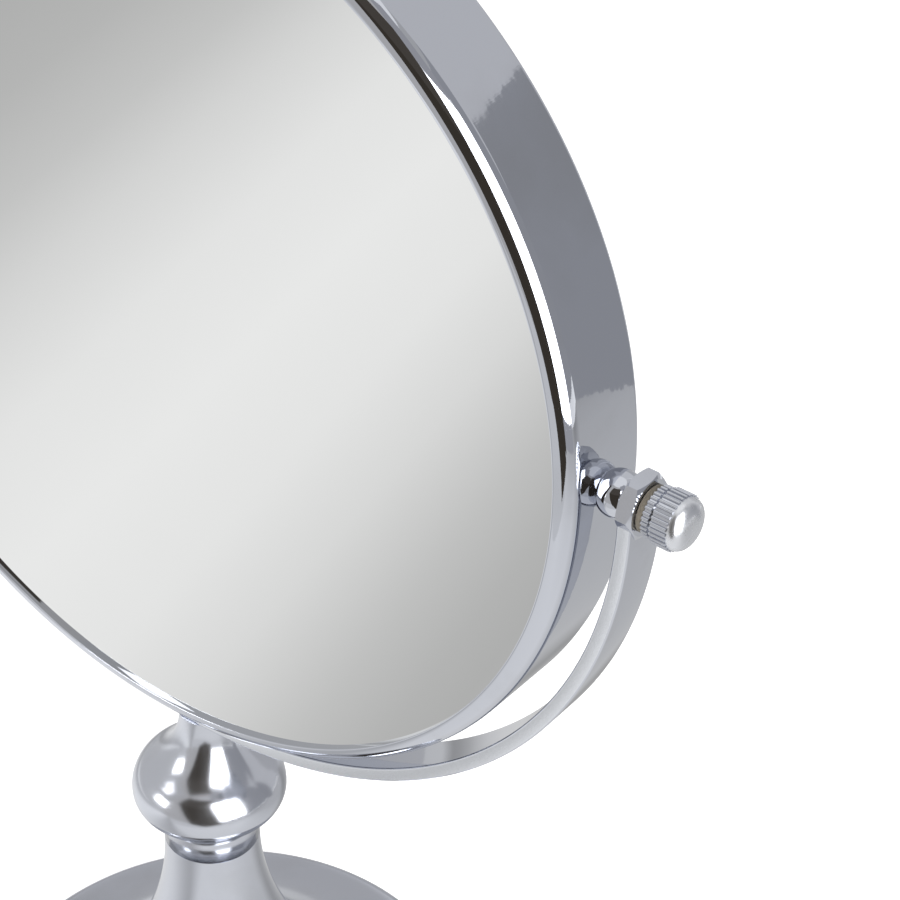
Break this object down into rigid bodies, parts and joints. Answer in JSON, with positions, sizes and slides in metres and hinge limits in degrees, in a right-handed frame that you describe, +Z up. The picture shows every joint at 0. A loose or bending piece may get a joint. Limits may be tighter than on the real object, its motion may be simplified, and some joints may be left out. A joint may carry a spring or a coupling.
{
  "type": "table shaving mirror",
  "caption": "Round two-sided shaving mirror that turns in a U-shaped yoke between knurled thumb nuts, on a turned stem with a weighted trumpet base.",
  "frame": {"origin": "on the table, under the middle of the round base", "axes": "+Z up, +X along the mirror's pivots, -Y the way the flat glass faces at rest"},
  "size_m": [0.2378, 0.1136, 0.3137],
  "materials": {
    "chrome_base": "polished chrome plate",
    "chrome_stem": "polished chrome plate",
    "chrome_yoke": "polished chrome plate",
    "chrome_band": "polished chrome plate",
    "chrome_bezel": "polished chrome plate",
    "chrome_pivot": "polished chrome plate",
    "chrome_nut": "polished chrome plate",
    "mirror_flat": "flat silvered glass",
    "mirror_curved": "concave silvered glass",
    "ballast_iron": "raw casting",
    "zinc_steel": "bright zinc plate",
    "pad_foam": "matt closed-cell foam",
    "board": "pressed board",
    "core_plastic": "moulded",
    "fibre": "brown vulcanised fibre"
  },
  "bodies": {
    "stand": {"base_shell": "chrome_base", "base_weight": "ballast_iron", "base_cover": "zinc_steel", "cover_screws": "zinc_steel", "base_pad": "pad_foam", "neck_bush": "zinc_steel", "tie_rod": "zinc_steel", "tie_washer": "zinc_steel", "tie_nut": "zinc_steel", "stem_finial": "chrome_stem", "yoke": "chrome_yoke", "yoke_washer": "zinc_steel", "yoke_screw": "zinc_steel"},
    "mirror": {"rim_band": "chrome_band", "front_bezel": "chrome_bezel", "rear_bezel": "chrome_bezel", "front_glass": "mirror_flat", "rear_glass": "mirror_curved", "backing_board": "board", "core_ring": "core_plastic", "stud_plate_left": "zinc_steel", "pivot_stud_left": "zinc_steel", "ball_spacer_left": "chrome_pivot", "friction_washer_left": "fibre", "stud_plate_right": "zinc_steel", "pivot_stud_right": "zinc_steel", "ball_spacer_right": "chrome_pivot", "friction_washer_right": "fibre"},
    "thumb_nut_left": {"thumb_nut_left": "chrome_nut"},
    "thumb_nut_right": {"thumb_nut_right": "chrome_nut"}
  },
  "joints": [
    {"name": "mirror_tilt", "type": "hinge", "parent": "stand", "child": "mirror", "pos_m": [0, 0, 0.2135], "axis": [1, 0, 0], "continuous": true},
    {"name": "nut_turn_left", "type": "hinge", "parent": "mirror", "child": "thumb_nut_left", "pos_m": [-0.1149, 0, 0.2135], "axis": [-1, 0, 0], "range_deg": [0, 360]},
    {"name": "nut_turn_right", "type": "hinge", "parent": "mirror", "child": "thumb_nut_right", "pos_m": [0.1149, 0, 0.2135], "axis": [1, 0, 0], "range_deg": [0, 360]}
  ]
}
